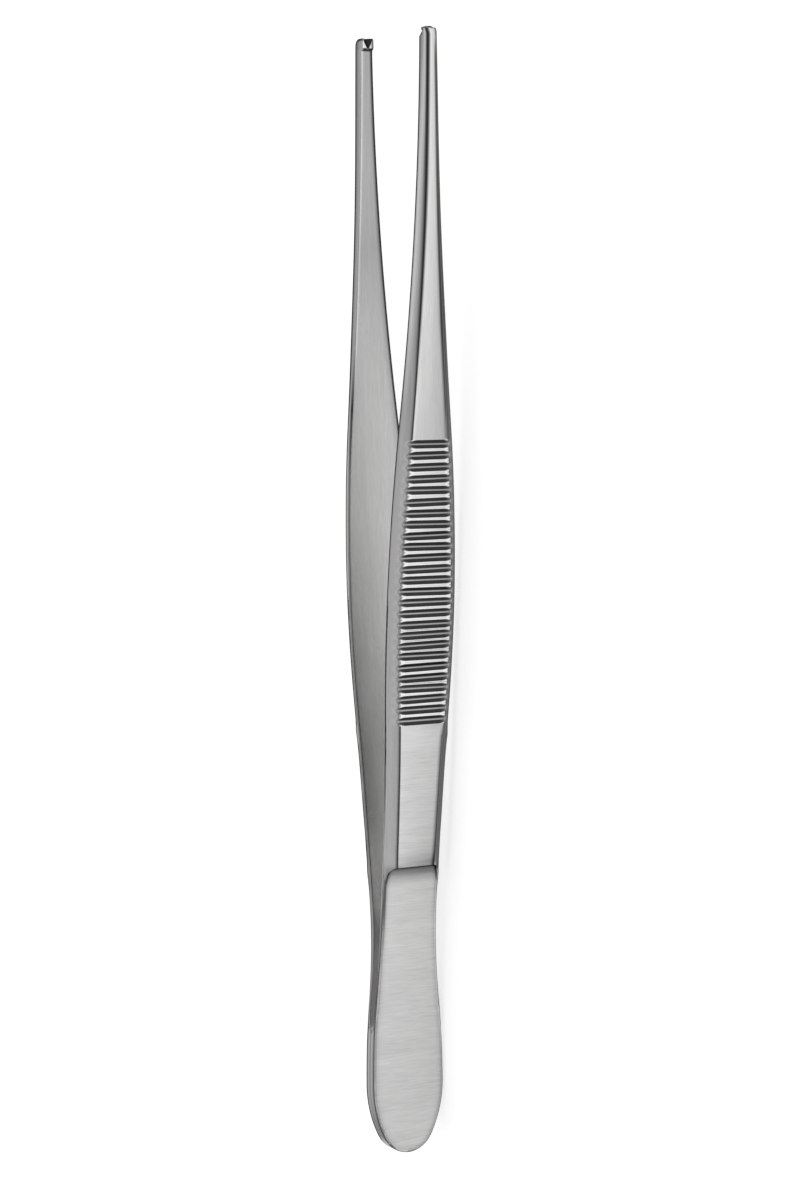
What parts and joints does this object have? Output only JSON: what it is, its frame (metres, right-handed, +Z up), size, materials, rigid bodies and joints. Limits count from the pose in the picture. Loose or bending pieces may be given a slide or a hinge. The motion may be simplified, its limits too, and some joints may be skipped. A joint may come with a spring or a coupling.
{
  "type": "thumb forceps",
  "caption": "Spring steel tissue forceps lying on its side edges: bowed arms welded at a rounded butt, grooved grips, toothed tips.",
  "frame": {"origin": "middle of the forceps' length and opening, on the surface that its side edges rest on", "axes": "+Y along the forceps from the butt to the tips, +X across the opening towards the arm with one tooth, +Z up across the width"},
  "size_m": [0.02, 0.145, 0.0102],
  "materials": {
    "steel": "satin, ground along the arms and across the butt"
  },
  "bodies": {
    "root": {"one_tooth_arm": "steel", "two_tooth_arm": "steel"}
  },
  "joints": []
}
